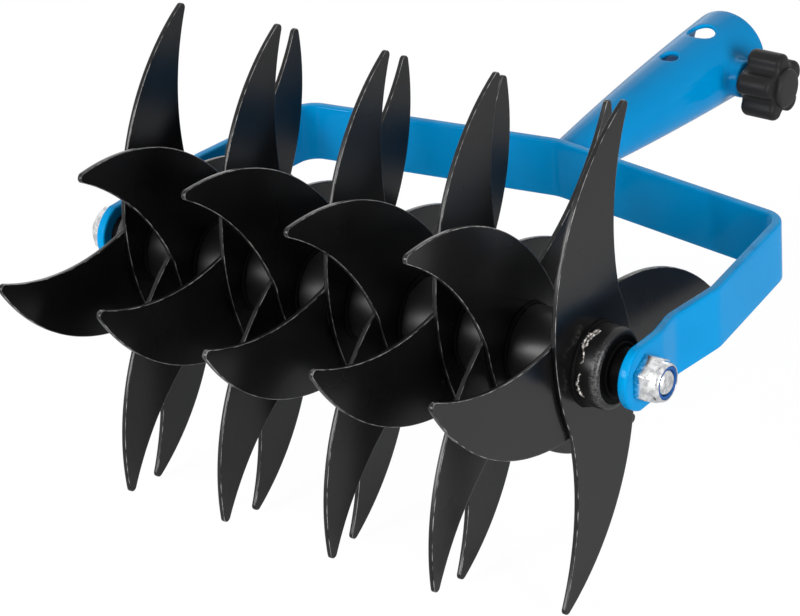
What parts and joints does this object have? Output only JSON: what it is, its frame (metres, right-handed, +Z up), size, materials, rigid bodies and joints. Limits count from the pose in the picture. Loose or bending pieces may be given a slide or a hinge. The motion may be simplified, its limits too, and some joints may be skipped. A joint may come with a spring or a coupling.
{
  "type": "rotary hand cultivator",
  "caption": "Rotary cultivator head: sickle-bladed stars on a free-turning hub in a bent flat-bar yoke, with a tapered handle socket and a lobed clamp knob.",
  "frame": {"origin": "centre of the handle socket's mouth", "axes": "+Y leaves the mouth along the handle, +X runs along the axle towards its nut, +Z is up with the yoke level"},
  "size_m": [0.2128, 0.2895, 0.1528],
  "materials": {
    "blue_coat": "smooth semi-gloss powder coat",
    "black_paint": "thin semi-gloss paint, worn at the edges",
    "zinc": "bright zinc plate",
    "bare_steel": "drawn tube",
    "grey_plastic": "moulded",
    "black_plastic": "moulded, fine grain",
    "blue_nylon": "moulded"
  },
  "bodies": {
    "frame": {"yoke": "blue_coat", "handle_socket": "blue_coat", "clamp_boss": "blue_coat", "axle_bolt": "zinc", "axle_nut": "zinc", "nut_lock_ring": "blue_nylon", "axle_sleeve": "bare_steel"},
    "rotor": {"hub_tube": "black_paint", "left_bush": "grey_plastic", "right_bush": "grey_plastic", "star_1": "black_paint", "star_2": "black_paint", "star_3": "black_paint", "star_4": "black_paint", "star_5": "black_paint", "star_6": "black_paint", "star_7": "black_paint", "star_8": "black_paint", "star_9": "black_paint"},
    "screw": {"clamp_screw": "zinc"},
    "knob": {"clamp_knob": "black_plastic", "knob_cap": "black_plastic"}
  },
  "joints": [
    {"name": "rotor_spin", "type": "hinge", "parent": "frame", "child": "rotor", "pos_m": [0, -0.21302, 0], "axis": [1, 0, 0], "continuous": true},
    {"name": "clamp_feed", "type": "slide", "parent": "frame", "child": "screw", "axis": [1, 0, 0], "range_m": [-0.0013, 0.0051]},
    {"name": "knob_turn", "type": "hinge", "parent": "screw", "child": "knob", "pos_m": [0.03, -0.0185, 0], "axis": [1, 0, 0], "range_deg": [-360, 1440]}
  ],
  "couplings": [
    {"joint": "clamp_feed", "follows": "knob_turn", "m_per_rad": 0.00019894}
  ]
}
